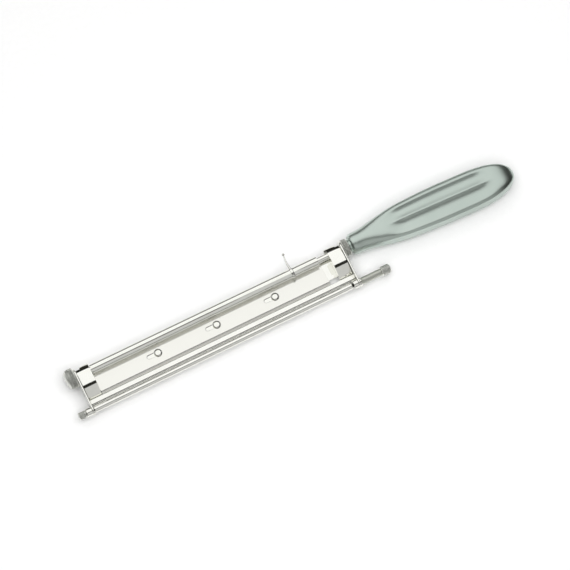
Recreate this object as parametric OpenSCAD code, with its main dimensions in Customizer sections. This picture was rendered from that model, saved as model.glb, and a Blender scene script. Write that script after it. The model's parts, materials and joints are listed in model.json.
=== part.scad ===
// Hand dermatome (skin-graft knife): a long blade on keyhole studs between two end blocks,
// with a roller and a guard bar that swing on the spine rod to set the cutting gap.
// X runs along the spine rod towards the handle, -Y is the cutting side, +Z is up.
// Sub-parts are drawn from the spine axis and the left arm's outer face, then moved so that
// the origin is the middle of the bounding box, on the surface that the knife rests on.

/* [Blade] */
// Length of the blade
blade_len = 157.8; // [120:0.1:180]
// Distance from the spine axis to the cutting edge
edge_reach = 16.1; // [14:0.1:20]
// Thickness of the blade
blade_t = 0.8; // [0.4:0.05:1]
// Width of the ground bevel
bevel_w = 2.1; // [1:0.1:3]
// Distance between neighbouring keyholes
keyhole_pitch = 40.5; // [30:0.1:42]
// Distance from the spine axis to the keyholes
keyhole_reach = 7.95; // [6:0.05:10]
// Diameter of the round end of a keyhole
keyhole_d = 4.8; // [4:0.1:6]
// Width of a keyhole's slot
slot_w = 2.4; // [1.8:0.1:3]
// Length of the slot, from the round end's centre to its tip
slot_len = 7.4; // [5:0.1:10]
// How far the middle keyhole stands from the blade's middle
keyhole_shift = 3.6; // [0:0.1:6]

/* [Spine and clamp] */
// Diameter of the spine rod
rod_d = 4.4; // [3:0.1:4.8]
// Diameter of the clamp tube
tube_d = 6.7; // [6.2:0.1:7.4]
// Depth of the cam flat that frees the blade
cam_depth = 0.35; // [0.1:0.05:0.4]
// Distance from the clamp lever to the blade's right end
lever_inset = 18.9; // [10:0.1:60]
// Distance from the spine axis to the lever's ball
lever_reach = 12.4; // [8:0.1:14]
// Diameter of the lever's ball
ball_d = 1.9; // [1.4:0.1:2.4]

/* [End blocks and bed] */
// Length of each end block along the spine
block_len = 8.6; // [7:0.1:12]
// Height of the arched top over the spine axis
block_top = 3.9; // [3.6:0.1:6]
// Distance from the spine axis forward to the arch's crest
crest_reach = 5.0; // [3:0.1:8]
// Radius of the arched top
arch_r = 15; // [13:0.1:20]
// Distance from the spine axis to the blocks' back face
block_back = 2.9; // [2.7:0.1:4]
// Thickness of the blade bed
bed_t = 1.6; // [1.2:0.1:2]
// Distance from the blade bed's front edge back to the cutting edge
bed_inset = 2.7; // [2:0.1:5]
// Room between the blade's right end and the right block
blade_room = 6.2; // [4:0.1:10]
// Radius of the rear lugs about the spine axis
lug_r = 4.9; // [4.2:0.1:6]

/* [Guard and roller] */
// Thickness of the swinging arms
arm_t = 1.1; // [0.8:0.1:2]
// Radius of the arms' upper ends
arm_top_r = 5.1; // [4:0.1:7]
// Radius of the arms' lower ends
arm_low_r = 3.2; // [2.8:0.1:5]
// Gap in plan from the guard bar to the roller
roller_gap = 1.0; // [1:0.1:3]
// Distance from the spine axis down to the roller axis
roller_drop = 1.0; // [0:0.1:2]
// Diameter of the roller
roller_d = 4.4; // [3.6:0.1:6]
// Diameter of the roller's spindle
spindle_d = 2.4; // [1.6:0.1:3]
// Width of the guard bar
guard_w = 3.4; // [2.5:0.05:5]
// Thickness of the guard bar
guard_t = 1.4; // [1:0.1:2]
// Gap from the cutting edge to the guard bar as it swings past
guard_gap = 0.6; // [0.5:0.05:2]

/* [Knobs] */
// Diameter of the clamp knob at the left end
knob_d = 13.2; // [13:0.1:18]
// Length of the clamp knob
knob_len = 6.6; // [5:0.1:10]
// Diameter of the lock nut beside the handle
nut_d = 11.3; // [9:0.1:13]
// Length of the lock nut
nut_len = 4.0; // [3:0.1:6]
// Diameter of the spindle nut
spindle_nut_d = 4.9; // [4.4:0.1:7]
// Length of the spindle nut
spindle_nut_len = 5.0; // [4:0.1:8]
// Length of the collar between the left arm and the spindle nut
collar_len = 4.0; // [2:0.1:6]
// Diameter of the grip shank
shank_d = 4.6; // [3.8:0.1:6]
// Length of the grip shank
shank_len = 14.2; // [10:0.1:20]
// Diameter of the shank's end knob
end_knob_d = 6.3; // [5:0.1:8]
// Length of the shank's end knob
end_knob_len = 6.3; // [5:0.1:9]

/* [Handle] */
// Length of the handle
handle_len = 113.5; // [90:0.5:140]
// Diameter of the handle's neck
neck_d = 13; // [11:0.1:13.6]
// Full width of the handle's grip
grip_w = 25.4; // [21:0.1:31]
// Thickness of the handle's grip
grip_t = 13.4; // [10:0.1:13.6]
// How far the handle's end leans to the cutting side
grip_lean = 3.0; // [0:0.1:5]
// Depth of the finger flutes
flute_depth = 1.4; // [0:0.1:1.8]

/* [Hidden] */
$fn = 64;

run = 0.05;                        // radial clearance of a shaft that turns in its bore
face_gap = 0.1;                    // gap between the faces of neighbouring moving pieces
over = 1;                          // how far cuts run past the faces that they open
join = 0.02;                       // how far joined outlines sink into each other

rod_r = rod_d / 2;
tube_r = tube_d / 2;
spindle_r = spindle_d / 2;
roller_r = roller_d / 2;

// Heights, from the spine axis
blade_top = -(tube_r + face_gap);
blade_low = blade_top - blade_t;
bed_top = blade_low - run;
bed_low = bed_top - bed_t;

// Stations along the spine, from the left arm's outer face
arm_gap = 0.3;                     // gap from each arm to its end block
end_gap = 0.6;                     // gap from the left block to the blade
block_l = arm_t + arm_gap;
bed_l = block_l + block_len;
blade_l = bed_l + end_gap;
blade_r = blade_l + blade_len;
bed_r = blade_r + blade_room;
block_r = bed_r + block_len;
arm_r = block_r + arm_gap;
outer_r = arm_r + arm_t;
nut_r = outer_r + face_gap + nut_len;
handle_l = nut_r + face_gap + 1.5;
handle_r = handle_l + handle_len;
stud_mid = (blade_l + blade_r) / 2 + keyhole_shift;
lever_x = blade_r - lever_inset;

// Blade bed and what holds it
bed_back = 1.2;
bed_front = edge_reach - bed_inset;
bed_tab = 6;                       // length of the bed's tab inside each block
screw_r = 0.8;
screw_head_r = 1.5;
screw_head_t = 0.7;
screw_len = 4.6;
pin_r = 0.6;
pin_rise = 1;                      // how far the pins pass the spine axis
stud_neck_r = slot_w / 2 - 0.2;
stud_head_r = keyhole_d / 2 - 0.25;
stud_head_t = 0.7;

lug_rise = 1.4;                    // height of each rear lug's top edge over the spine axis
dome_share = 0.55;                 // share of the clamp knob's length that the dome takes

// Guard
guard_near = norm([edge_reach, blade_low]) + guard_gap;
guard_far = guard_near + guard_w;
roller_reach = guard_far + roller_gap + roller_r;
block_clear = 0.25;                // room between the end blocks and the guard bar as it swings
guard_top = -roller_drop;
bush_len = 3.3;
bush_r = 2.95;
bush_space = 1.0;                  // open gap between the roller and its bush
collar_r = 2.7;
washer_r = 3;
washer_t = 0.9;
shank_l = outer_r + washer_t;
shank_r = shank_l + shank_len;

// Lever, as angles about the spine axis from +Y towards +Z
tube_short = 1.4;                  // how far the tube stops before the blade's right end
saddle_r = tube_r + 0.6;
saddle_w = 1.7;
saddle_back = 42;
saddle_front = 200;
cam_angle = -50;
wire_r = 0.5;
ball_rise = 3.4;
toe_tip = 4.7;
toe_rise = 0.5;                    // height of the toe's tip over the blade
toe_w = 1.1;
lever_screw_r = 0.6;
screw_bite = 0.6;                  // depth of the lever screw's seat in the tube
lever_screw_angle = 114;

// Handle
collar_gap = 1.4;                  // length of the handle's thin spigot beside the lock nut
spigot_r = 4.3;
socket_len = 14;                   // depth of the rod's socket in the handle
ring_step = 2.5;
ring_sides = 48;
bulb_rise = 0.3;                   // how far the bulb at the neck's start stands proud
widest = 0.65;                     // place of the widest section, as a share of the length
flute_l = 22;                      // where the flutes start, from the handle's start
flute_end = 12;                    // where the flutes stop, from the handle's end
flute_span = 0.8;                  // place of the outer rims, as a share of the half width
ridge_soft = 0.12;                 // softness of the ridge between the flutes

// The bounding box, for the origin
x_min = -(collar_len + face_gap + spindle_nut_len);
x_mid = (x_min + handle_r) / 2;
y_max = max(lever_reach + ball_d / 2, max([for (d = stations()) half_w(d) + lean(d)]));
y_mid = (y_max - roller_reach - arm_low_r) / 2;
z_min = -max(knob_d / 2, max([for (d = stations()) half_t(d)]));

module tool_frame() translate([-x_mid, -y_mid, -z_min]) children();

// A cylinder along X, and a ring with a bore
module bar_x(x0, x1, r, y = 0, z = 0)
    translate([x0, y, z]) rotate([0, 90, 0]) cylinder(h = x1 - x0, r = r);
module ring_x(x0, x1, r, bore, y = 0, z = 0) difference() {
    bar_x(x0, x1, r, y, z);
    bar_x(x0 - over, x1 + over, bore, y, z);
}
// A cross-section drawn in Y and Z, carried along X
module slab_x(x0, x1) translate([x0, 0, 0]) rotate([90, 0, 90]) linear_extrude(x1 - x0) children();
// A turned knob with both rims broken, and a bore that may stop short of its right face
module turned_x(x0, x1, r, bore, bore_l, bore_r, rim, y = 0, z = 0)
    translate([x0, y, z]) rotate([0, 90, 0]) difference() {
        rotate_extrude() polygon([[0, 0], [r - rim, 0], [r, rim], [r, x1 - x0 - rim],
            [r - rim, x1 - x0], [0, x1 - x0]]);
        translate([0, 0, bore_l]) cylinder(h = bore_r - bore_l, r = bore);
    }

module spine_rod() tool_frame() color("silver") difference() {
    bar_x(-knob_len - face_gap - 0.15, handle_l + socket_len, rod_r);
    for (x = pin_places()) pin(x);
}

// Handle: rings of points whose width, thickness and lean are functions of the distance along it.
// Each ring goes from a circle at the neck to a slab with rounded sides, fluted on both faces.
function ease(t) = let (c = min(1, max(0, t))) c * c * (3 - 2 * c);
function past(d, start) = max(0, d - start) / (handle_len - start);
function bulb(d) = bulb_rise * exp(-pow((d - 3) / 2.5, 2));
function start_round(d) = 0.86 + 0.14 * sqrt(1 - pow(1 - min(1, d / 2), 2));
function half_w(d) = (neck_d / 2 + bulb(d)
    + (grip_w - neck_d) / 2 * (ease((d + 2) / 40) + ease((d + 4) / 70)) / 2)
    * sqrt(max(0, 1 - pow(past(d, widest * handle_len), 3.1))) * start_round(d);
function half_t(d) = (neck_d / 2 + bulb(d) + (grip_t - neck_d) / 2 * ease((d - 6) / 40))
    * sqrt(max(0, 1 - pow(past(d, handle_len - 15), 2.4))) * start_round(d);
function lean(d) = -grip_lean * ease(d / handle_len / 1.15);
function flute(d, u) = flute_depth * ease((d - flute_l) / 16) * ease((handle_len - flute_end - d) / 14)
    * (abs(u) > flute_span ? 0 : sqrt(pow(sin(180 * abs(u) / flute_span), 2) + pow(ridge_soft, 2))
    - ridge_soft);
function section(d, a) = let (n = 2 + 2.2 * ease((d - 8) / 28), u = cos(a), side = sign(sin(a)))
    [handle_l + d, lean(d) + half_w(d) * u,
    side * (half_t(d) * pow(max(0, 1 - pow(abs(u), n)), 1 / n) - flute(d, u))];
function stations() = concat([0, 0.4, 1, 2], [for (d = [4.5 : ring_step : handle_len - 7]) d],
    [for (k = [5, 3.5, 2.2, 1.2, 0.5, 0.12]) handle_len - k]);
module grip() {
    rows = stations();
    last = len(rows) - 1;
    points = concat([for (d = rows) for (k = [0 : ring_sides - 1]) section(d, k * 360 / ring_sides)],
        [[handle_l, 0, 0], [handle_r, lean(handle_len), 0]]);
    function at(i, k) = i * ring_sides + k % ring_sides;
    faces = concat(
        [for (i = [0 : last - 1]) for (k = [0 : ring_sides - 1]) each
            [[at(i, k), at(i + 1, k), at(i + 1, k + 1)], [at(i, k), at(i + 1, k + 1), at(i, k + 1)]]],
        [for (k = [0 : ring_sides - 1]) [len(points) - 2, at(0, k), at(0, k + 1)]],
        [for (k = [0 : ring_sides - 1]) [len(points) - 1, at(last, k + 1), at(last, k)]]);
    polyhedron(points, faces, convexity = 4);
}
module handle() tool_frame() color([0.68, 0.74, 0.70]) difference() {
    union() {
        grip();
        bar_x(handle_l - collar_gap, handle_l + 3, spigot_r);
    }
    bar_x(handle_l - collar_gap - over, handle_l + socket_len, rod_r);
}

// End blocks: an arched profile with pockets for the bed's tabs
module block_profile() intersection() {
    translate([-crest_reach, block_top - arch_r]) circle(r = arch_r, $fn = 128);
    circle(r = guard_near - block_clear, $fn = 128);
    translate([-guard_near, bed_low]) square([guard_near + block_back, block_top - bed_low]);
}
module end_block(x0, x1) difference() {
    slab_x(x0, x1) block_profile();
    bar_x(x0 - over, x1 + over, rod_r);
    bed_blank();
    bed_screw_set();
    for (x = pin_places()) pin(x);
}
module left_end_block() tool_frame() color("gainsboro") end_block(block_l, bed_l);
module right_end_block() tool_frame() color("gainsboro") end_block(bed_r, block_r);

// Taper pins that lock the end blocks to the spine rod, driven from below
function pin_places() = [block_l + 1.3, block_r - 1.3];
module pin(x) translate([x, 0, bed_low]) cylinder(h = pin_rise - bed_low, r = pin_r);
module block_pins() tool_frame() color("gray") for (x = pin_places()) pin(x);

// Rear lugs: segments of a disc about the spine axis, behind the blocks
module rear_lug(x0, x1) slab_x(x0, x1) intersection() {
    circle(r = lug_r);
    polygon([[block_back, -lug_r], [block_back, lug_rise], [lug_r, lug_rise - (lug_r - block_back) * 0.75],
        [lug_r, -lug_r]]);
}
module left_rear_lug() tool_frame() color("silver") rear_lug(bed_l - 5.7, bed_l + 0.3);
module right_rear_lug() tool_frame() color("silver") rear_lug(bed_r - 1.2, block_r - 2.3);

// Blade bed
module bed_blank() translate([bed_l - bed_tab, -bed_front, bed_low - over])
    cube([bed_r - bed_l + 2 * bed_tab, bed_front + bed_back, bed_t + over]);
module blade_bed() tool_frame() color("lightgray") difference() {
    intersection() {
        bed_blank();
        translate([0, -bed_front - over, bed_low]) cube([outer_r, bed_front + 4 * over, bed_t]);
    }
    for (x = stud_places()) translate([x, -keyhole_reach, bed_low - over])
        cylinder(h = bed_t + 2 * over, r = stud_neck_r);
    bed_screw_set();
    for (x = pin_places()) pin(x);
}
module bed_screw(x, y) translate([x, y, bed_low]) {
    cylinder(h = screw_len, r = screw_r);
    cylinder(h = screw_head_t, r1 = screw_head_r, r2 = screw_r);
}
module bed_screw_set() for (x = [bed_l - bed_tab / 2, bed_r + bed_tab / 2]) for (y = [-4.5, -11])
    bed_screw(x, y);
module bed_screws() tool_frame() color("gray") bed_screw_set();

// Studs with flat heads that the blade's keyholes pass over
function stud_places() = [for (k = [-1 : 1]) stud_mid + k * keyhole_pitch];
module blade_studs() tool_frame() color("white") for (x = stud_places())
    translate([x, -keyhole_reach, 0]) {
        translate([0, 0, bed_low]) cylinder(h = blade_top + run - bed_low, r = stud_neck_r);
        translate([0, 0, blade_top + run]) cylinder(h = stud_head_t, r = stud_head_r);
    }

// Blade with its bevel and keyholes
module blade() tool_frame() color("whitesmoke") difference() {
    slab_x(blade_l, blade_r) polygon([[-0.1, blade_low], [-0.1, blade_top],
        [bevel_w - edge_reach, blade_top], [-edge_reach, blade_low + 0.05], [-edge_reach, blade_low]]);
    for (x = stud_places()) translate([x, -keyhole_reach, blade_low - over]) {
        cylinder(h = blade_t + 2 * over, r = keyhole_d / 2);
        translate([slot_w / 2 - slot_len, 0, 0]) cylinder(h = blade_t + 2 * over, r = slot_w / 2);
        translate([slot_w / 2 - slot_len, -slot_w / 2, 0])
            cube([slot_len - slot_w / 2, slot_w, blade_t + 2 * over]);
    }
}

// Clamp tube with a cam flat, its lever and the lever's screw
module clamp_tube() tool_frame() color("white") difference() {
    ring_x(blade_l, blade_r - tube_short, tube_r, rod_r + run);
    rotate([cam_angle, 0, 0]) translate([blade_l - over, tube_r - cam_depth, -tube_r])
        cube([blade_len + 2 * over, tube_r, 2 * tube_r]);
    lever_screw_blank();
}
function about_spine(r, a) = [r * cos(a), r * sin(a)];
module lever_screw_blank() translate([lever_x, 0, 0]) rotate([lever_screw_angle, 0, 0])
    rotate([-90, 0, 0]) translate([0, 0, tube_r - screw_bite])
    cylinder(h = saddle_r + 0.15 - tube_r + screw_bite, r = lever_screw_r);
module clamp_lever() tool_frame() color("darkgray") difference() {
    union() {
        slab_x(lever_x - saddle_w / 2, lever_x + saddle_w / 2) difference() {
            circle(r = saddle_r);
            polygon([[0, 0], about_spine(9, saddle_front), about_spine(9, 270), about_spine(9, 340),
                about_spine(9, saddle_back)]);
        }
        slab_x(lever_x - toe_w / 2, lever_x + toe_w / 2)
            polygon([about_spine(saddle_r - 0.1, 165), [-toe_tip, blade_top + toe_rise + 0.4],
                [-toe_tip, blade_top + toe_rise], about_spine(saddle_r - 0.2, saddle_front + 12),
                about_spine(tube_r - 0.8, saddle_front), about_spine(tube_r - 0.8, 170)]);
        lever_wire();
        translate([lever_x, lever_reach, ball_rise]) sphere(r = ball_d / 2);
    }
    bar_x(lever_x - 2, lever_x + 2, tube_r);
    lever_screw_blank();
}
module lever_wire() {
    start = about_spine(saddle_r - wire_r, 62);
    run_y = lever_reach - start[0];
    run_z = ball_rise - start[1];
    translate([lever_x, start[0], start[1]]) rotate([atan2(run_z, run_y) - 90, 0, 0])
        cylinder(h = norm([run_y, run_z]), r = wire_r);
}
module lever_screw() tool_frame() color("black") lever_screw_blank();

// Swinging arms: two round ends joined by their common tangents
module arm(x0) {
    low = [-roller_reach, -roller_drop];
    heading = atan2(low[1], low[0]);
    turn = acos((arm_top_r - arm_low_r) / norm(low));
    top_r = arm_top_r - join;
    low_r = arm_low_r - join;
    difference() {
        union() {
            bar_x(x0, x0 + arm_t, arm_top_r);
            bar_x(x0, x0 + arm_t, arm_low_r, low[0], low[1]);
            slab_x(x0, x0 + arm_t) polygon([about_spine(top_r, heading + turn),
                low + about_spine(low_r, heading + turn), low + about_spine(low_r, heading - turn),
                about_spine(top_r, heading - turn)]);
        }
        bar_x(x0 - over, x0 + arm_t + over, rod_r + run);
        bar_x(x0 - over, x0 + arm_t + over, spindle_r, low[0], low[1]);
    }
}
module left_arm() tool_frame() color("gainsboro") arm(0);
module right_arm() tool_frame() color("gainsboro") arm(arm_r);

// Guard bar with a slightly crowned top, brazed between the arms
module guard_bar() tool_frame() color("beige") slab_x(arm_t, arm_r) intersection() {
    translate([-guard_far, guard_top - guard_t]) square([guard_w, guard_t]);
    translate([-(guard_near + guard_far) / 2, guard_top - 6]) circle(r = 6, $fn = 96);
}

module roller_axis_ring(x0, x1, r, bore) ring_x(x0, x1, r, bore, -roller_reach, -roller_drop);
module roller_spindle() tool_frame() color("gray")
    bar_x(0.8 - collar_len - spindle_nut_len, shank_r + end_knob_len - 1.6, spindle_r, -roller_reach,
        -roller_drop);
module roller() tool_frame() color("silver")
    roller_axis_ring(arm_t + 0.3, arm_r - bush_len - bush_space, roller_r, spindle_r + run);
module roller_bush() tool_frame() color("darkgray")
    roller_axis_ring(arm_r - bush_len, arm_r, bush_r, spindle_r);
module left_collar() tool_frame() color("silver") roller_axis_ring(-collar_len, 0, collar_r, spindle_r);
module shank_washer() tool_frame() color("silver")
    roller_axis_ring(outer_r, outer_r + washer_t, washer_r, spindle_r);
module grip_shank() tool_frame() color("silver") roller_axis_ring(shank_l, shank_r, shank_d / 2, spindle_r);

// Knobs and nuts. The clamp knob's outer end is a quarter of an oval.
function dome_point(t) = [knob_d * (0.2 + 0.3 * sin(90 * t)), dome_share * knob_len * (1 - cos(90 * t))];
module clamp_knob() tool_frame() color("darkgray") translate([-knob_len - face_gap, 0, 0])
    rotate([0, 90, 0]) difference() {
        rotate_extrude() polygon(concat([[0, 0]], [for (k = [0 : 9]) dome_point(k / 9)],
            [[knob_d / 2, knob_len - 0.6], [knob_d / 2 - 0.5, knob_len], [0, knob_len]]));
        translate([0, 0, -over]) cylinder(h = knob_len + 2 * over, r = rod_r + run);
    }
module lock_nut() tool_frame() color("darkgray")
    turned_x(outer_r + face_gap, nut_r, nut_d / 2, rod_r + run, -over, nut_len + over, 0.4);
module spindle_nut() tool_frame() color("darkgray")
    turned_x(x_min, -collar_len - face_gap, spindle_nut_d / 2, spindle_r + run, 0.8,
        spindle_nut_len + over, 0.5, -roller_reach, -roller_drop);
module shank_knob() tool_frame() color("darkgray")
    turned_x(shank_r + face_gap, shank_r + face_gap + end_knob_len, end_knob_d / 2, spindle_r + run,
        -over, end_knob_len - 1.5, 0.5, -roller_reach, -roller_drop);

spine_rod();
handle();
left_end_block();
right_end_block();
left_rear_lug();
right_rear_lug();
blade_bed();
blade_studs();
bed_screws();
block_pins();
blade();
clamp_tube();
clamp_lever();
lever_screw();
left_arm();
right_arm();
guard_bar();
roller_spindle();
roller();
roller_bush();
left_collar();
shank_washer();
grip_shank();
clamp_knob();
lock_nut();
spindle_nut();
shank_knob();
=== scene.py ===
import json
import math

import bmesh
import bpy
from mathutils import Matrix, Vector


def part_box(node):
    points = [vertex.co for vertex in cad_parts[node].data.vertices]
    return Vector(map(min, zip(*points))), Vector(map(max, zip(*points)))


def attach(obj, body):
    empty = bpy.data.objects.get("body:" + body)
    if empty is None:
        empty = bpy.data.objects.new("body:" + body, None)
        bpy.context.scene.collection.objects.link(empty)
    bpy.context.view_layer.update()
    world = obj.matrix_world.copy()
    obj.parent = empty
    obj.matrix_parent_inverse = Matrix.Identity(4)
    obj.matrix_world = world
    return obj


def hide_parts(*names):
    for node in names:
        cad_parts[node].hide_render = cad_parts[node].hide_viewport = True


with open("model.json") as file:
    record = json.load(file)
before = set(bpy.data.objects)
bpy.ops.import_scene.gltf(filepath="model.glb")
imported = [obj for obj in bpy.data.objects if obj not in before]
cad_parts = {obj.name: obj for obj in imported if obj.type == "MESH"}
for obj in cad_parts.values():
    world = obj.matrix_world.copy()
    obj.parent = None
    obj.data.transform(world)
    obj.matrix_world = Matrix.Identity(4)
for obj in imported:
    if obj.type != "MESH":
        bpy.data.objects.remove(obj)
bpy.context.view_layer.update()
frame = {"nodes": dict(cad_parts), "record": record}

# Lengths below are in millimetres, in the CAD frame: X along the spine rod, -Y the cutting side.
MM = 0.001


def span(node):
    """Lowest and highest corner of a CAD node, in millimetres."""
    low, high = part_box(node)
    return low / MM, high / MM


def middle(node, axis):
    low, high = span(node)
    return (low[axis] + high[axis]) / 2


X, Y, Z = 0, 1, 2
SPINE = (middle("lock_nut", Y), middle("lock_nut", Z))
ROLLER = (middle("roller", Y), middle("roller", Z))
SPINDLE_R = (span("roller_spindle")[1][Z] - span("roller_spindle")[0][Z]) / 2

RECORD = frame["record"]
BODY_OF = {node: body for body, nodes in RECORD["behaviour"]["bodies"].items() for node in nodes}


# ---------------------------------------------------------------- mesh making

def settle(name, mesh, node, materials, sharp_deg=35):
    """Makes a mesh in metres a smooth-shaded piece that stands for a CAD node and rides on its body."""
    mesh.shade_smooth()
    mesh.set_sharp_from_angle(angle=math.radians(sharp_deg))
    piece = bpy.data.objects.new(name, mesh)
    bpy.context.scene.collection.objects.link(piece)
    for material in materials:
        piece.data.materials.append(material)
    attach(piece, BODY_OF[node])
    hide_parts(node)
    return piece


def finish_mesh(name, bm, node, *materials, sharp_deg=35):
    """Turns a bmesh in millimetres into a piece."""
    bmesh.ops.recalc_face_normals(bm, faces=bm.faces)
    mesh = bpy.data.meshes.new(name)
    for vert in bm.verts:
        vert.co *= MM
    bm.to_mesh(mesh)
    bm.free()
    return settle(name, mesh, node, materials, sharp_deg)


def skin(bm, rings, closed=False):
    """Joins rings of points into a tube: with end faces, or closed on itself."""
    loops = [[bm.verts.new(point) for point in ring] for ring in rings]
    for near, far in zip(loops, loops[1:] + loops[:1] if closed else loops[1:]):
        for i in range(len(near)):
            j = (i + 1) % len(near)
            bm.faces.new((near[i], near[j], far[j], far[i]))
    if not closed:
        bm.faces.new(loops[0])
        bm.faces.new(loops[-1])


def turned(bm, x0, profile, centre, sides=96, knurl=None, bore=None):
    """A turned piece along X. The profile is (distance along, radius) pairs.
    knurl is (first, last, teeth, depth): the stretch of profile that carries diamonds."""
    def ring(along, radius):
        points = []
        for k in range(sides):
            angle = math.tau * k / sides
            r = radius
            if knurl and knurl[0] <= along <= knurl[1] and radius > (bore or 0):
                r -= knurl_cut(along, angle, radius, knurl)
            points.append(Vector((x0 + along, centre[0] + r * math.cos(angle),
                                  centre[1] + r * math.sin(angle))))
        return points
    rings = [ring(along, radius) for along, radius in profile]
    if bore:
        rings += [ring(profile[-1][0], bore), ring(profile[0][0], bore)]
    skin(bm, rings, closed=bool(bore))


def ridge(t):
    """A triangle wave: 0 in each groove, 1 on each crest."""
    return abs(2 * (t - math.floor(t)) - 1)


def knurl_cut(along, angle, radius, knurl):
    first, last, teeth, depth = knurl
    pitch = math.tau * radius / teeth
    turn = angle * teeth / math.tau
    lift = min(ridge(turn + along / pitch), ridge(turn - along / pitch))
    fade = min(1, (along - first) / 0.3, (last - along) / 0.3)
    return depth * (1 - lift) * max(0, fade)


def steps(start, end, size):
    count = max(1, round((end - start) / size))
    return [start + (end - start) * k / count for k in range(count + 1)]


def rounded_ends(length, radius, rim):
    """The profile of a plain turned bar whose two rims are rounded."""
    turns = [math.radians(d) for d in (0, 22.5, 45, 67.5, 90)]
    start = [(rim * (1 - math.sin(a)), radius - rim * (1 - math.cos(a))) for a in reversed(turns)]
    end = [(length - rim * (1 - math.sin(a)), radius - rim * (1 - math.cos(a))) for a in turns]
    return start + end


def softened(node, rim, *materials, segments=3, corner_deg=30):
    """A CAD node's own shape with its edges broken by a small radius, the way a maker's stone leaves them."""
    source = frame["nodes"][node]
    mesh = source.data.copy()
    mesh.transform(source.matrix_world)
    bm = bmesh.new()
    bm.from_mesh(mesh)
    bmesh.ops.remove_doubles(bm, verts=bm.verts, dist=0.002 * MM)
    bmesh.ops.dissolve_limit(bm, angle_limit=math.radians(0.5), verts=bm.verts, edges=bm.edges)
    bmesh.ops.recalc_face_normals(bm, faces=bm.faces)
    bm.to_mesh(mesh)
    bm.free()
    mesh.materials.clear()
    draft = bpy.data.objects.new(node + "_draft", mesh)
    bpy.context.scene.collection.objects.link(draft)
    edges = draft.modifiers.new("broken_edges", "BEVEL")
    edges.width, edges.segments = rim * MM, segments
    edges.limit_method, edges.angle_limit = "ANGLE", math.radians(corner_deg)
    edges.miter_outer = "MITER_ARC"
    return settle("soft_" + node, baked(draft), node, materials)


def draft_of(name, bm):
    """An object made from a bmesh in millimetres, for a modifier to work on."""
    mesh = bpy.data.meshes.new(name)
    for vert in bm.verts:
        vert.co *= MM
    bm.to_mesh(mesh)
    bm.free()
    draft = bpy.data.objects.new(name + "_draft", mesh)
    bpy.context.scene.collection.objects.link(draft)
    return draft


def baked(draft):
    """The mesh that an object's modifiers give; the object itself is taken away."""
    graph = bpy.context.evaluated_depsgraph_get()
    mesh = bpy.data.meshes.new_from_object(draft.evaluated_get(graph))
    mesh.name = draft.name.replace("_draft", "_mesh")
    bpy.data.objects.remove(draft)
    return mesh


# ---------------------------------------------------------------- materials

def linear(hex_colour):
    """An sRGB hex colour as linear RGBA."""
    parts = [int(hex_colour[i:i + 2], 16) / 255 for i in (1, 3, 5)]
    return [c / 12.92 if c <= 0.04045 else ((c + 0.055) / 1.055) ** 2.4 for c in parts] + [1]


def add(tree, kind, settings=None, links=None):
    """Adds a node with its settings and its links, given as {input: (node, output)}."""
    node = tree.nodes.new(kind)
    for key, value in (settings or {}).items():
        if key in node.inputs:
            node.inputs[key].default_value = value
        else:
            setattr(node, key, value)
    for key, (source, output) in (links or {}).items():
        tree.links.new(source.outputs[output], node.inputs[key])
    return node


def new_material(name):
    material = bpy.data.materials.new(name)
    material.use_nodes = True
    tree = material.node_tree
    tree.nodes.clear()
    return material, tree


def close(tree, shader):
    add(tree, "ShaderNodeOutputMaterial", links={"Surface": (shader, "BSDF")})


def per_metre(size_mm):
    """The scale of a pattern whose repeat is size_mm, in object coordinates."""
    return 1 / (size_mm * MM)


def polished_stainless():
    """Buffed to a mirror: it shows the lights almost sharply, with faint wipe marks."""
    material, tree = new_material("polished_stainless_steel")
    place = add(tree, "ShaderNodeTexCoord")
    smear = add(tree, "ShaderNodeTexNoise", {"Scale": per_metre(9), "Detail": 3.0},
                {"Vector": (place, "Object")})
    tone = add(tree, "ShaderNodeValToRGB", links={"Fac": (smear, "Fac")})
    tone.color_ramp.elements[0].color = linear("#E9E9E2")
    tone.color_ramp.elements[1].color = linear("#F4F4EF")
    gloss = add(tree, "ShaderNodeMapRange", {"To Min": 0.03, "To Max": 0.07}, {"Value": (smear, "Fac")})
    grit = add(tree, "ShaderNodeTexNoise", {"Scale": per_metre(0.5), "Detail": 2.0},
               {"Vector": (place, "Object")})
    bump = add(tree, "ShaderNodeBump", {"Strength": 0.02, "Distance": 0.02 * MM}, {"Height": (grit, "Fac")})
    shader = add(tree, "ShaderNodeBsdfPrincipled", {"Metallic": 1.0},
                 {"Base Color": (tone, "Color"), "Roughness": (gloss, "Result"), "Normal": (bump, "Normal")})
    close(tree, shader)
    return material


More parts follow.
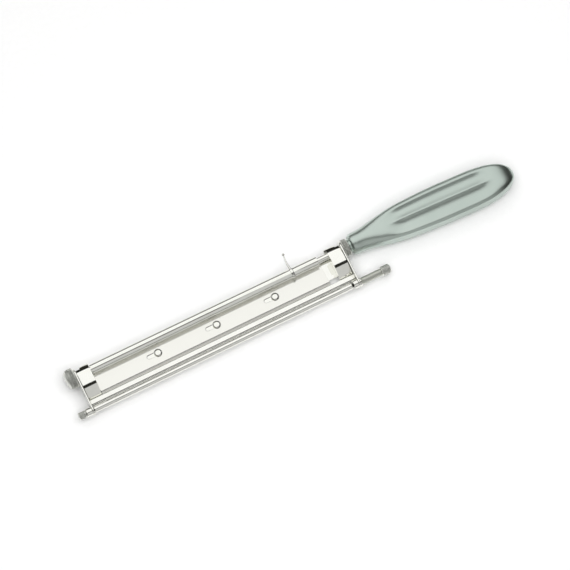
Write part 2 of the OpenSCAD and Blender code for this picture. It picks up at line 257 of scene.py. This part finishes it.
def ground_blade_steel():
    """Fine-ground blade steel: pale, with lines left by the wheel across the blade."""
    material, tree = new_material("ground_blade_steel")
    place = add(tree, "ShaderNodeTexCoord")
    stretch = add(tree, "ShaderNodeMapping", {"Scale": (per_metre(0.25), per_metre(9), per_metre(9))},
                  {"Vector": (place, "Object")})
    lines = add(tree, "ShaderNodeTexNoise", {"Scale": 1.0, "Detail": 4.0}, {"Vector": (stretch, "Vector")})
    cloud = add(tree, "ShaderNodeTexNoise", {"Scale": per_metre(40), "Detail": 2.0},
                {"Vector": (place, "Object")})
    both = add(tree, "ShaderNodeMix", {"Factor": 0.45, "data_type": "FLOAT"})
    tree.links.new(cloud.outputs["Fac"], both.inputs[2])
    tree.links.new(lines.outputs["Fac"], both.inputs[3])
    tone = add(tree, "ShaderNodeValToRGB", links={"Fac": (both, "Result")})
    tone.color_ramp.elements[0].color = linear("#E6E6E0")
    tone.color_ramp.elements[1].color = linear("#F1F0EA")
    gloss = add(tree, "ShaderNodeMapRange", {"To Min": 0.15, "To Max": 0.22}, {"Value": (lines, "Fac")})
    bump = add(tree, "ShaderNodeBump", {"Strength": 0.05, "Distance": 0.02 * MM},
               {"Height": (lines, "Fac")})
    shader = add(tree, "ShaderNodeBsdfPrincipled", {"Metallic": 1.0},
                 {"Base Color": (tone, "Color"), "Roughness": (gloss, "Result"), "Normal": (bump, "Normal")})
    close(tree, shader)
    return material


def bead_blasted_stainless():
    """Bead-blasted stainless steel: a soft grey-green sheen with a very fine peened grain."""
    material, tree = new_material("bead_blasted_stainless_steel")
    place = add(tree, "ShaderNodeTexCoord")
    grain = add(tree, "ShaderNodeTexNoise", {"Scale": per_metre(0.35), "Detail": 3.0},
                {"Vector": (place, "Object")})
    cloud = add(tree, "ShaderNodeTexNoise", {"Scale": per_metre(25), "Detail": 3.0},
                {"Vector": (place, "Object")})
    tone = add(tree, "ShaderNodeValToRGB", links={"Fac": (cloud, "Fac")})
    tone.color_ramp.elements[0].color = linear("#B4C0B9")
    tone.color_ramp.elements[1].color = linear("#C4CFC8")
    gloss = add(tree, "ShaderNodeMapRange", {"To Min": 0.28, "To Max": 0.37}, {"Value": (grain, "Fac")})
    bump = add(tree, "ShaderNodeBump", {"Strength": 0.18, "Distance": 0.03 * MM},
               {"Height": (grain, "Fac")})
    shader = add(tree, "ShaderNodeBsdfPrincipled", {"Metallic": 1.0},
                 {"Base Color": (tone, "Color"), "Roughness": (gloss, "Result"), "Normal": (bump, "Normal")})
    close(tree, shader)
    return material


def rolled_knurl_steel():
    """Rolled knurling: steel-bright crests, with the grooves painted darker by the mesh's pointiness as
    painted shade in the hollows.
    """
    material, tree = new_material("rolled_knurl_steel")
    place = add(tree, "ShaderNodeTexCoord")
    shape = add(tree, "ShaderNodeNewGeometry")
    # Painted shade: concave grooves take the dark colour, convex crests the steel's own pale colour.
    groove_shade = add(tree, "ShaderNodeValToRGB", links={"Fac": (shape, "Pointiness")})
    groove_shade.color_ramp.elements[0].position = 0.46
    groove_shade.color_ramp.elements[0].color = linear("#8C8E87")
    groove_shade.color_ramp.elements[1].position = 0.54
    groove_shade.color_ramp.elements[1].color = linear("#F0F1EB")
    grain = add(tree, "ShaderNodeTexNoise", {"Scale": per_metre(0.4), "Detail": 3.0},
                {"Vector": (place, "Object")})
    gloss = add(tree, "ShaderNodeMapRange", {"To Min": 0.30, "To Max": 0.45}, {"Value": (grain, "Fac")})
    shader = add(tree, "ShaderNodeBsdfPrincipled", {"Metallic": 1.0},
                 {"Base Color": (groove_shade, "Color"), "Roughness": (gloss, "Result")})
    close(tree, shader)
    return material


def turned_satin_steel():
    """Lathe-turned and lightly rubbed: fine rings round the axis, a grey satin look."""
    material, tree = new_material("turned_satin_steel")
    place = add(tree, "ShaderNodeTexCoord")
    stretch = add(tree, "ShaderNodeMapping", {"Scale": (per_metre(0.3), per_metre(30), per_metre(30))},
                  {"Vector": (place, "Object")})
    rings = add(tree, "ShaderNodeTexNoise", {"Scale": 1.0, "Detail": 3.0}, {"Vector": (stretch, "Vector")})
    tone = add(tree, "ShaderNodeValToRGB", links={"Fac": (rings, "Fac")})
    tone.color_ramp.elements[0].color = linear("#BFC1B8")
    tone.color_ramp.elements[1].color = linear("#D2D4CB")
    gloss = add(tree, "ShaderNodeMapRange", {"To Min": 0.40, "To Max": 0.52}, {"Value": (rings, "Fac")})
    shader = add(tree, "ShaderNodeBsdfPrincipled", {"Metallic": 1.0},
                 {"Base Color": (tone, "Color"), "Roughness": (gloss, "Result")})
    close(tree, shader)
    return material


def blackened_steel():
    """Oil-blackened steel: nearly black, with a dull sheen."""
    material, tree = new_material("oil_blackened_steel")
    place = add(tree, "ShaderNodeTexCoord")
    cloud = add(tree, "ShaderNodeTexNoise", {"Scale": per_metre(1), "Detail": 2.0},
                {"Vector": (place, "Object")})
    tone = add(tree, "ShaderNodeValToRGB", links={"Fac": (cloud, "Fac")})
    tone.color_ramp.elements[0].color = linear("#1B1B19")
    tone.color_ramp.elements[1].color = linear("#32322E")
    shader = add(tree, "ShaderNodeBsdfPrincipled", {"Metallic": 1.0, "Roughness": 0.4},
                 {"Base Color": (tone, "Color")})
    close(tree, shader)
    return material


def painted_shade_hole_wall():
    """The keyholes' walls: matt and painted dark grey against the ground faces, as painted shade in the
    holes.
    """
    material, tree = new_material("hole_wall_shade_steel")
    place = add(tree, "ShaderNodeTexCoord")
    pits = add(tree, "ShaderNodeTexNoise", {"Scale": per_metre(0.2), "Detail": 2.0},
               {"Vector": (place, "Object")})
    tone = add(tree, "ShaderNodeValToRGB", links={"Fac": (pits, "Fac")})
    tone.color_ramp.elements[0].color = linear("#4A4B47")
    tone.color_ramp.elements[1].color = linear("#6B6C66")
    shader = add(tree, "ShaderNodeBsdfPrincipled", {"Metallic": 1.0, "Roughness": 0.5},
                 {"Base Color": (tone, "Color")})
    close(tree, shader)
    return material


def white_card():
    """Matt white card, for the table."""
    material, tree = new_material("matt_white_card")
    place = add(tree, "ShaderNodeTexCoord")
    fibre = add(tree, "ShaderNodeTexNoise", {"Scale": per_metre(3)}, {"Vector": (place, "Object")})
    tone = add(tree, "ShaderNodeValToRGB", links={"Fac": (fibre, "Fac")})
    tone.color_ramp.elements[0].color = linear("#FAFAFA")
    tone.color_ramp.elements[1].color = linear("#FFFFFF")
    shader = add(tree, "ShaderNodeBsdfPrincipled", {"Roughness": 0.9, "Specular IOR Level": 0.1},
                 {"Base Color": (tone, "Color")})
    close(tree, shader)
    return material


POLISHED = polished_stainless()
BLADE = ground_blade_steel()
BLASTED = bead_blasted_stainless()
KNURLED = rolled_knurl_steel()
SATIN = turned_satin_steel()
BLACK = blackened_steel()
HOLE_WALL_SHADE = painted_shade_hole_wall()


# ---------------------------------------------------------------- camera, lights and table

def pale_table():
    half_side = 3.0
    mesh = bpy.data.meshes.new("table")
    bm = bmesh.new()
    bmesh.ops.create_grid(bm, x_segments=2, y_segments=2, size=half_side)
    bm.to_mesh(mesh)
    bm.free()
    table = bpy.data.objects.new("table", mesh)
    bpy.context.scene.collection.objects.link(table)
    table.data.materials.append(white_card())


def softbox(name, tilt_from, tilt_to, watts, reach=0.9, length=1.6, along=0.0, mirrored=True):
    """A long light box parallel to the knife. Tilts are in degrees from overhead, + towards the back.
    A box that isn't mirrored lights the matt table, and no metal face shows it."""
    tilt = math.radians((tilt_from + tilt_to) / 2)
    data = bpy.data.lights.new(name, "AREA")
    data.shape = "RECTANGLE"
    data.size = length
    data.size_y = 2 * reach * math.tan(math.radians(tilt_to - tilt_from) / 2)
    data.energy = watts
    light = bpy.data.objects.new(name, data)
    bpy.context.scene.collection.objects.link(light)
    light.location = (along, reach * math.sin(tilt), reach * math.cos(tilt))
    light.rotation_euler = (-tilt, 0, 0)
    light.visible_camera = False
    light.visible_glossy = mirrored


def studio():
    softbox("back_box", -9, 64, 7.2)
    softbox("front_box", -79, -23.4, 2.0, length=1.1, along=-0.06)
    softbox("table_fill", -45, 10, 7.3, mirrored=False)
    world = bpy.data.worlds.new("studio")
    bpy.context.scene.world = world
    world.use_nodes = True
    tree = world.node_tree
    tree.nodes.clear()
    path = add(tree, "ShaderNodeLightPath")
    room = add(tree, "ShaderNodeBackground", {"Color": linear("#55554F"), "Strength": 0.3})
    seen = add(tree, "ShaderNodeBackground", {"Color": linear("#FFFFFF"), "Strength": 1.0})
    mix = add(tree, "ShaderNodeMixShader", links={"Fac": (path, "Is Camera Ray")})
    tree.links.new(room.outputs["Background"], mix.inputs[1])
    tree.links.new(seen.outputs["Background"], mix.inputs[2])
    add(tree, "ShaderNodeOutputWorld", links={"Surface": (mix, "Shader")})


def camera():
    azimuth, elevation = math.radians(-26.75), math.radians(72)
    frame_width = 0.3557           # how much of the scene the picture spans, in metres
    data = bpy.data.cameras.new("camera")
    data.lens, data.sensor_width = 200, 36
    eye = bpy.data.objects.new("camera", data)
    bpy.context.scene.collection.objects.link(eye)
    back = Vector((math.sin(azimuth) * math.cos(elevation), -math.cos(azimuth) * math.cos(elevation),
                   math.sin(elevation)))
    right = Vector((math.cos(azimuth), math.sin(azimuth), 0))
    up = back.cross(right)
    blade_low, blade_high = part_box("blade")
    blade = Vector(((blade_low[X] + blade_high[X]) / 2, SPINE[0] * MM, SPINE[1] * MM))
    target = blade + right * 0.0492 + up * 0.0184 - back * 0.0123
    eye.location = target + back * (frame_width / 2) / (data.sensor_width / 2 / data.lens)
    eye.rotation_mode = "QUATERNION"
    eye.rotation_quaternion = (-back).to_track_quat("-Z", "Y")
    bpy.context.scene.camera = eye


bpy.context.scene.view_settings.view_transform = "Standard"
pale_table()
studio()
camera()


# ---------------------------------------------------------------- the handle

SPIGOT = 1.4                # length of the thin spigot beside the lock nut
NECK_R = 6.5
HALF_WIDTH = 12.7
HALF_THICK = 6.7
LEAN = 3.0
FLUTE_DEPTH = 1.35
HANDLE_SIDES = 192


def ease(t):
    t = min(1, max(0, t))
    return t * t * (3 - 2 * t)


class Grip:
    """The paddle handle's section at a distance d along it, in millimetres."""

    def __init__(self, length):
        self.length = length

    def past(self, d, start):
        return max(0, d - start) / (self.length - start)

    def neck(self, d):
        return NECK_R + 0.3 * math.exp(-((d - 3) / 2.5) ** 2)

    def shoulder(self, d):
        return 0.86 + 0.14 * math.sqrt(1 - (1 - min(1, d / 2)) ** 2)

    def half_width(self, d):
        wide = self.neck(d) + (HALF_WIDTH - NECK_R) * (ease((d + 2) / 40) + ease((d + 4) / 70)) / 2
        return wide * math.sqrt(max(0, 1 - self.past(d, 0.65 * self.length) ** 3.1)) * self.shoulder(d)

    def half_thickness(self, d):
        thick = self.neck(d) + (HALF_THICK - NECK_R) * ease((d - 6) / 40)
        return thick * math.sqrt(max(0, 1 - self.past(d, self.length - 15) ** 2.4)) * self.shoulder(d)

    def lean(self, d):
        return -LEAN * ease(d / self.length / 1.15)

    def flute(self, d, u):
        """Two hollows on each face, with a ridge between them and a soft rim outside."""
        ends = ease((d - 22) / 16) * ease((self.length - 12 - d) / 14)
        # The hollow on the back half is narrower, with a steeper outer wall
        rim, skew = (0.72, 1.1) if u > 0 else (0.84, 0.9)
        soft = 0.10
        if abs(u) > rim:
            return 0
        wave = math.sin(math.pi * (abs(u) / rim) ** skew)
        return FLUTE_DEPTH * ends * (math.sqrt(wave ** 2 + soft ** 2) - soft)

    def ring(self, x0, d):
        power = 2 + 2.2 * ease((d - 8) / 28)
        points = []
        for k in range(HANDLE_SIDES):
            angle = math.tau * k / HANDLE_SIDES
            u = math.cos(angle)
            rise = self.half_thickness(d) * max(0, 1 - abs(u) ** power) ** (1 / power) - self.flute(d, u)
            points.append(Vector((x0 + d, SPINE[0] + self.lean(d) + self.half_width(d) * u,
                                  SPINE[1] + math.copysign(rise, math.sin(angle)) * (abs(u) < 1))))
        return points


def handle():
    low, high = span("handle")
    x0 = low[X] + SPIGOT
    length = high[X] - x0
    grip = Grip(length)
    stations = [2 * (1 - math.cos(a)) for a in steps(0, math.pi / 2, 0.2)]
    stations += steps(2.6, length - 6, 0.8)
    stations += [length - 6 * math.cos(a) for a in steps(0.1, math.pi / 2 - 0.03, 0.1)]
    bm = bmesh.new()
    spigot = [[Vector((x0 + along, SPINE[0] + r * math.cos(math.tau * k / HANDLE_SIDES),
                       SPINE[1] + r * math.sin(math.tau * k / HANDLE_SIDES))) for k in range(HANDLE_SIDES)]
              for along, r in ((-SPIGOT, 4.1), (-SPIGOT + 0.2, 4.3), (-0.05, 4.3))]
    skin(bm, spigot + [grip.ring(x0, d) for d in stations])
    finish_mesh("fluted_handle", bm, "handle", BLASTED, sharp_deg=50)


# ---------------------------------------------------------------- knobs and nuts

DOME_SHARE = 0.55           # share of the clamp knob's length that the dome takes


def knob():
    """The clamp knob: a domed outer face and a knurled rim."""
    low, high = span("clamp_knob")
    length, radius = high[X] - low[X], (high[Z] - low[Z]) / 2
    dome = [(DOME_SHARE * length * (1 - math.cos(a)), radius * (0.4 + 0.6 * math.sin(a)))
            for a in steps(0, math.pi / 2, 0.1)]
    grip = [(along, radius) for along in steps(DOME_SHARE * length + 0.13, length - 0.8, 0.13)]
    back = [(length - 0.45, radius - 0.1), (length - 0.15, radius - 0.35), (length, radius - 0.7)]
    bm = bmesh.new()
    turned(bm, low[X], dome + grip + back, SPINE, 300, (0.25 * length, length - 0.6, 44, 0.42), 2.3)
    finish_mesh("clamp_knob_knurled", bm, "clamp_knob", KNURLED, sharp_deg=60)


def knurled_nut(name, node, centre, teeth, depth, bore, rim=0.45, plain=0.0):
    """A knurled nut with rounded rims; plain is the smooth collar kept at its right end."""
    low, high = span(node)
    length, radius = high[X] - low[X], (high[Z] - low[Z]) / 2
    ends = rounded_ends(length, radius, rim)
    half = len(ends) // 2
    body = [(along, radius) for along in steps(rim + 0.1, length - rim - 0.1, 0.12)]
    bm = bmesh.new()
    turned(bm, low[X], ends[:half] + body + ends[half:], centre, teeth * 6,
           (rim, length - rim - plain, teeth, depth), bore)
    finish_mesh(name, bm, node, KNURLED, sharp_deg=60)


def shank_knob():
    """The knob on the shank's end: knurled, with a domed cap and a blind hole for the spindle's end."""
    low, high = span("shank_knob")
    length, radius = high[X] - low[X], (high[Z] - low[Z]) / 2
    body = [(along, radius) for along in steps(0.5, length - 1.3, 0.12)]
    cap = [(length - 1.1, radius * 0.93), (length - 1.0, radius * 0.93), (length - 0.62, radius * 0.88),
           (length - 0.3, radius * 0.74), (length - 0.08, radius * 0.45), (length, radius * 0.1)]
    bm = bmesh.new()
    hole_r = SPINDLE_R + 0.3
    hole = [(span("roller_spindle")[1][X] - low[X] + 0.2, hole_r), (0, hole_r)]
    turned(bm, low[X], hole + [(0, radius - 0.4), (0.12, radius - 0.12)] + body + cap, ROLLER, 132,
           (0.3, length - 1.1, 22, 0.24))
    finish_mesh("shank_end_knob", bm, "shank_knob", KNURLED, sharp_deg=60)


# ---------------------------------------------------------------- plain turned pieces

def turned_piece(name, node, centre, rim, material, bore=None, sides=128):
    low, high = span(node)
    bm = bmesh.new()
    turned(bm, low[X], rounded_ends(high[X] - low[X], (high[Z] - low[Z]) / 2, rim), centre, sides, None, bore)
    finish_mesh(name, bm, node, material)


def grooved_shank():
    """The grip shank, with the tool's run-out groove beside the washer and a fine step at the knob."""
    low, high = span("grip_shank")
    length, radius = high[X] - low[X], (high[Z] - low[Z]) / 2
    profile = [(0, radius - 0.25), (0.7, radius - 0.25), (0.9, radius), (length - 0.6, radius),
               (length - 0.4, radius - 0.15), (length, radius - 0.15)]
    bm = bmesh.new()
    turned(bm, low[X], profile, ROLLER, 128, None, SPINDLE_R)
    finish_mesh("turned_grip_shank", bm, "grip_shank", SATIN)


# ---------------------------------------------------------------- the blade

KEYHOLE_R, SLOT_R, SLOT_LEN = 2.4, 1.2, 7.4


def keyhole(bm, x, y, levels):
    """A keyhole-shaped cutter: rings at each (height, growth), round end at x, y."""
    rings = []
    meet = math.pi - math.asin(SLOT_R / KEYHOLE_R)      # the same at every level, so rings keep one count
    for z, grow in levels:
        big, small = KEYHOLE_R + grow, SLOT_R + grow
        ring = [(x + big * math.cos(a), y + big * math.sin(a)) for a in steps(-meet, meet, 0.1)]
        end = x + SLOT_R - SLOT_LEN
        ring += [(end + small * math.cos(a), y + small * math.sin(a))
                 for a in steps(math.pi / 2, 1.5 * math.pi, 0.2)]
        rings.append([Vector((px, py, z)) for px, py in ring])
    skin(bm, rings)


def blade():
    """The blade: keyholes with a small countersink, and a ground bevel that starts with a hollow."""
    low, high = span("blade")
    bottom, top, edge, back = low[Z], high[Z], low[Y], high[Y]
    bevel = [(edge, bottom), (edge, bottom + 0.05), (edge + 1.42, top - 0.15), (edge + 1.62, top - 0.085),
             (edge + 1.92, top - 0.02), (edge + 2.1, top)]
    section = bevel + [(back - 0.06, top), (back, top - 0.06), (back, bottom + 0.06), (back - 0.06, bottom)]
    bm = bmesh.new()
    skin(bm, [[Vector((x, y, z)) for y, z in section] for x in (low[X], high[X])])
    bmesh.ops.recalc_face_normals(bm, faces=bm.faces)
    strip = draft_of("blade", bm)
    studs_low, studs_high = span("blade_studs")
    stud_r = (studs_high[Y] - studs_low[Y]) / 2
    holes = bmesh.new()
    for x in (studs_low[X] + stud_r, (studs_low[X] + studs_high[X]) / 2, studs_high[X] - stud_r):
        keyhole(holes, x, (studs_low[Y] + studs_high[Y]) / 2,
                [(bottom - 0.5, 0), (top - 0.2, 0), (top + 0.03, 0.23)])
    bmesh.ops.recalc_face_normals(holes, faces=holes.faces)
    cutter = draft_of("keyholes", holes)
    cut = strip.modifiers.new("keyholes", "BOOLEAN")
    cut.operation, cut.solver, cut.object = "DIFFERENCE", "EXACT", cutter
    mesh = baked(strip)
    bpy.data.objects.remove(cutter)
    piece = settle("keyhole_blade", mesh, "blade", [BLADE, HOLE_WALL_SHADE], sharp_deg=12)
    # The keyholes' walls take the second, darker material: painted shade in the holes.
    for face in piece.data.polygons:
        x, y = face.center.x / MM, face.center.y / MM
        inside = edge + 2.3 < y < back - 0.2 and low[X] + 1 < x < high[X] - 1
        face.material_index = int(inside and abs(face.normal.z) < 0.9)


# ---------------------------------------------------------------- blade studs, screws and lever

def lathe_up(bm, x, y, z0, profile, sides=64):
    """A piece turned about a vertical axis. The profile is (height, radius) pairs from z0."""
    around = [math.tau * k / sides for k in range(sides)]
    skin(bm, [[Vector((x + r * math.cos(a), y + r * math.sin(a), z0 + h)) for a in around]
              for h, r in profile])


def blade_studs():
    """Headed studs: a neck that the keyhole's slot slides round, and a head with a soft dome."""
    low, high = span("blade_studs")
    reach = (high[Y] - low[Y]) / 2
    neck, height = 1.0, high[Z] - low[Z]
    head = height - 0.7
    bm = bmesh.new()
    for x in (low[X] + reach, (low[X] + high[X]) / 2, high[X] - reach):
        lathe_up(bm, x, (low[Y] + high[Y]) / 2, low[Z],
                 [(0.02, neck - 0.1), (0.15, neck), (head, neck), (head + 0.02, reach - 0.08),
                  (head + 0.1, reach), (head + 0.3, reach - 0.02), (head + 0.45, reach - 0.14),
                  (head + 0.58, reach - 0.5), (head + 0.66, reach - 1.05), (head + 0.695, reach - 1.6),
                  (head + 0.7, 0.12)])
    finish_mesh("headed_blade_studs", bm, "blade_studs", POLISHED, sharp_deg=50)


def bed_screws():
    """Countersunk screws under the bed, each with a cut slot."""
    low, high = span("bed_screws")
    head, shank = 1.5, 0.8
    bm = bmesh.new()
    for x in (low[X] + head, high[X] - head):
        for y in (low[Y] + head, high[Y] - head):
            lathe_up(bm, x, y, low[Z], [(0.03, head - 0.12), (0.1, head - 0.03), (0.7, shank),
                                        (high[Z] - low[Z] - 0.2, shank), (high[Z] - low[Z], shank - 0.2)])
    bmesh.ops.recalc_face_normals(bm, faces=bm.faces)
    screws = draft_of("screws", bm)
    slots = bmesh.new()
    for x in (low[X] + head, high[X] - head):
        for y in (low[Y] + head, high[Y] - head):
            made = bmesh.ops.create_cube(slots, size=1)["verts"]
            for vert in made:
                turn = math.radians(25 + 40 * (x > 0) + 25 * (y > 0))
                long, wide, tall = vert.co.x * 4, vert.co.y * 0.45, vert.co.z * 0.8
                vert.co = Vector((x + long * math.cos(turn) - wide * math.sin(turn),
                                  y + long * math.sin(turn) + wide * math.cos(turn), low[Z] + tall))
    cutter = draft_of("slots", slots)
    cut = screws.modifiers.new("slots", "BOOLEAN")
    cut.operation, cut.solver, cut.object = "DIFFERENCE", "EXACT", cutter
    mesh = baked(screws)
    bpy.data.objects.remove(cutter)
    settle("slotted_bed_screws", mesh, "bed_screws", [SATIN])


def lever():
    """The clamp lever: a saddle and toe over the tube, a tapered curved finger and a ball."""
    low, high = span("clamp_lever")
    x = (low[X] + high[X]) / 2
    tube = span("clamp_tube")[1][Z] - SPINE[1]
    strap, ball_r = 0.6, 0.95
    saddle = tube + strap
    bm = bmesh.new()
    # Saddle and toe: a strap whose outer side swells at the finger and tapers to the toe
    turns = steps(42, 208, 5)
    rows = []
    for turn in turns:
        angle = math.radians(turn)
        out = Vector((0, math.cos(angle), math.sin(angle)))
        inner = Vector((0, SPINE[0] + (tube + 0.01) * out.y, SPINE[1] + (tube + 0.01) * out.z))
        thick = strap * ease((turn - 38) / 14) + 0.75 * ease((turn - 186) / 20)
        wide = 0.85 - 0.42 * ease((turn - 150) / 50)
        row = [inner + Vector((-wide, 0, 0)), inner + out * thick * 0.75 + Vector((-wide, 0, 0)),
               inner + out * thick + Vector((-wide * 0.7, 0, 0)),
               inner + out * thick + Vector((wide * 0.7, 0, 0)),
               inner + out * thick * 0.75 + Vector((wide, 0, 0)), inner + Vector((wide, 0, 0))]
        rows.append([point + Vector((x, 0, 0)) for point in row])
    skin(bm, rows)
    # Finger: rings swept along a bowed path from the saddle to the ball
    ball = (high[Y] - ball_r, SPINE[1] + 3.4)
    start = (SPINE[0] + (saddle - 0.9) * math.cos(math.radians(66)),
             SPINE[1] + (saddle - 0.9) * math.sin(math.radians(66)))
    around = [math.tau * k / 24 for k in range(24)]
    rings = []
    for t in steps(0, 1, 0.04):
        centre = Vector((x - 0.7 * math.sin(math.pi * t) * (1 - 0.3 * t), start[0] + (ball[0] - start[0]) * t,
                         start[1] + (ball[1] - start[1]) * t + 0.25 * math.sin(math.pi * t)))
        r = 0.78 - 0.42 * ease(t * 1.1)
        rings.append([centre + Vector((r * math.cos(a), 0, 0.8 * r * math.sin(a))) for a in around])
    skin(bm, rings)
    ball_bm = bmesh.ops.create_uvsphere(bm, u_segments=32, v_segments=20, radius=ball_r)
    bmesh.ops.translate(bm, verts=ball_bm["verts"], vec=Vector((x, ball[0], ball[1])))
    finish_mesh("clamp_lever_finger", bm, "clamp_lever", POLISHED, sharp_deg=40)


def lever_screw():
    """The lever's set screw: a domed black head with a hexagon socket."""
    low, high = span("lever_screw")
    base = Vector(((low[X] + high[X]) / 2, (low[Y] + high[Y]) / 2, (low[Z] + high[Z]) / 2))
    out = Vector((0, base.y - SPINE[0], base.z - SPINE[1])).normalized()
    side = out.cross(Vector((1, 0, 0)))
    foot = Vector((base.x, SPINE[0], SPINE[1])) + out * 2.8

    def ring(height, radius, corners):
        points = []
        for k in range(48):
            angle = math.tau * k / 48
            flat = math.cos(math.pi / 6) / math.cos((angle % (math.pi / 3)) - math.pi / 6) if corners else 1
            points.append(foot + out * height + Vector((1, 0, 0)) * radius * flat * math.cos(angle)
                          + side * radius * flat * math.sin(angle))
        return points
    bm = bmesh.new()
    skin(bm, [ring(0, 0.58, False), ring(1.15, 0.6, False), ring(1.26, 0.55, False), ring(1.3, 0.48, False),
              ring(1.3, 0.34, True), ring(0.9, 0.32, True)])
    finish_mesh("lever_set_screw", bm, "lever_screw", BLACK)


handle()
knob()
knurled_nut("knurled_lock_nut", "lock_nut", SPINE, 38, 0.38, 2.3)
knurled_nut("knurled_spindle_nut", "spindle_nut", ROLLER, 20, 0.24, SPINDLE_R + 0.05, plain=0.5)
shank_knob()
turned_piece("polished_roller", "roller", ROLLER, 0.35, POLISHED, SPINDLE_R + 0.1)
turned_piece("roller_bush_turned", "roller_bush", ROLLER, 0.3, POLISHED, SPINDLE_R)
turned_piece("roller_left_collar", "left_collar", ROLLER, 0.3, POLISHED, SPINDLE_R)
turned_piece("shank_washer_turned", "shank_washer", ROLLER, 0.3, POLISHED, SPINDLE_R)
grooved_shank()
blade()
blade_studs()
bed_screws()
lever()
lever_screw()
for node in ("left_end_block", "right_end_block"):
    softened(node, 0.3, POLISHED)
for node in ("left_rear_lug", "right_rear_lug", "guard_bar"):
    softened(node, 0.2, POLISHED)
for node in ("left_arm", "right_arm"):
    softened(node, 0.28, POLISHED)
softened("blade_bed", 0.15, POLISHED)
softened("clamp_tube", 0.2, POLISHED)
softened("spine_rod", 0.3, POLISHED)
frame["nodes"]["block_pins"].data.materials[0] = SATIN
# The roller spindle is made nearly black. Where it shows in the gaps beside the roller, its dark colour is
# painted shade in those gaps.
frame["nodes"]["roller_spindle"].data.materials[0] = BLACK
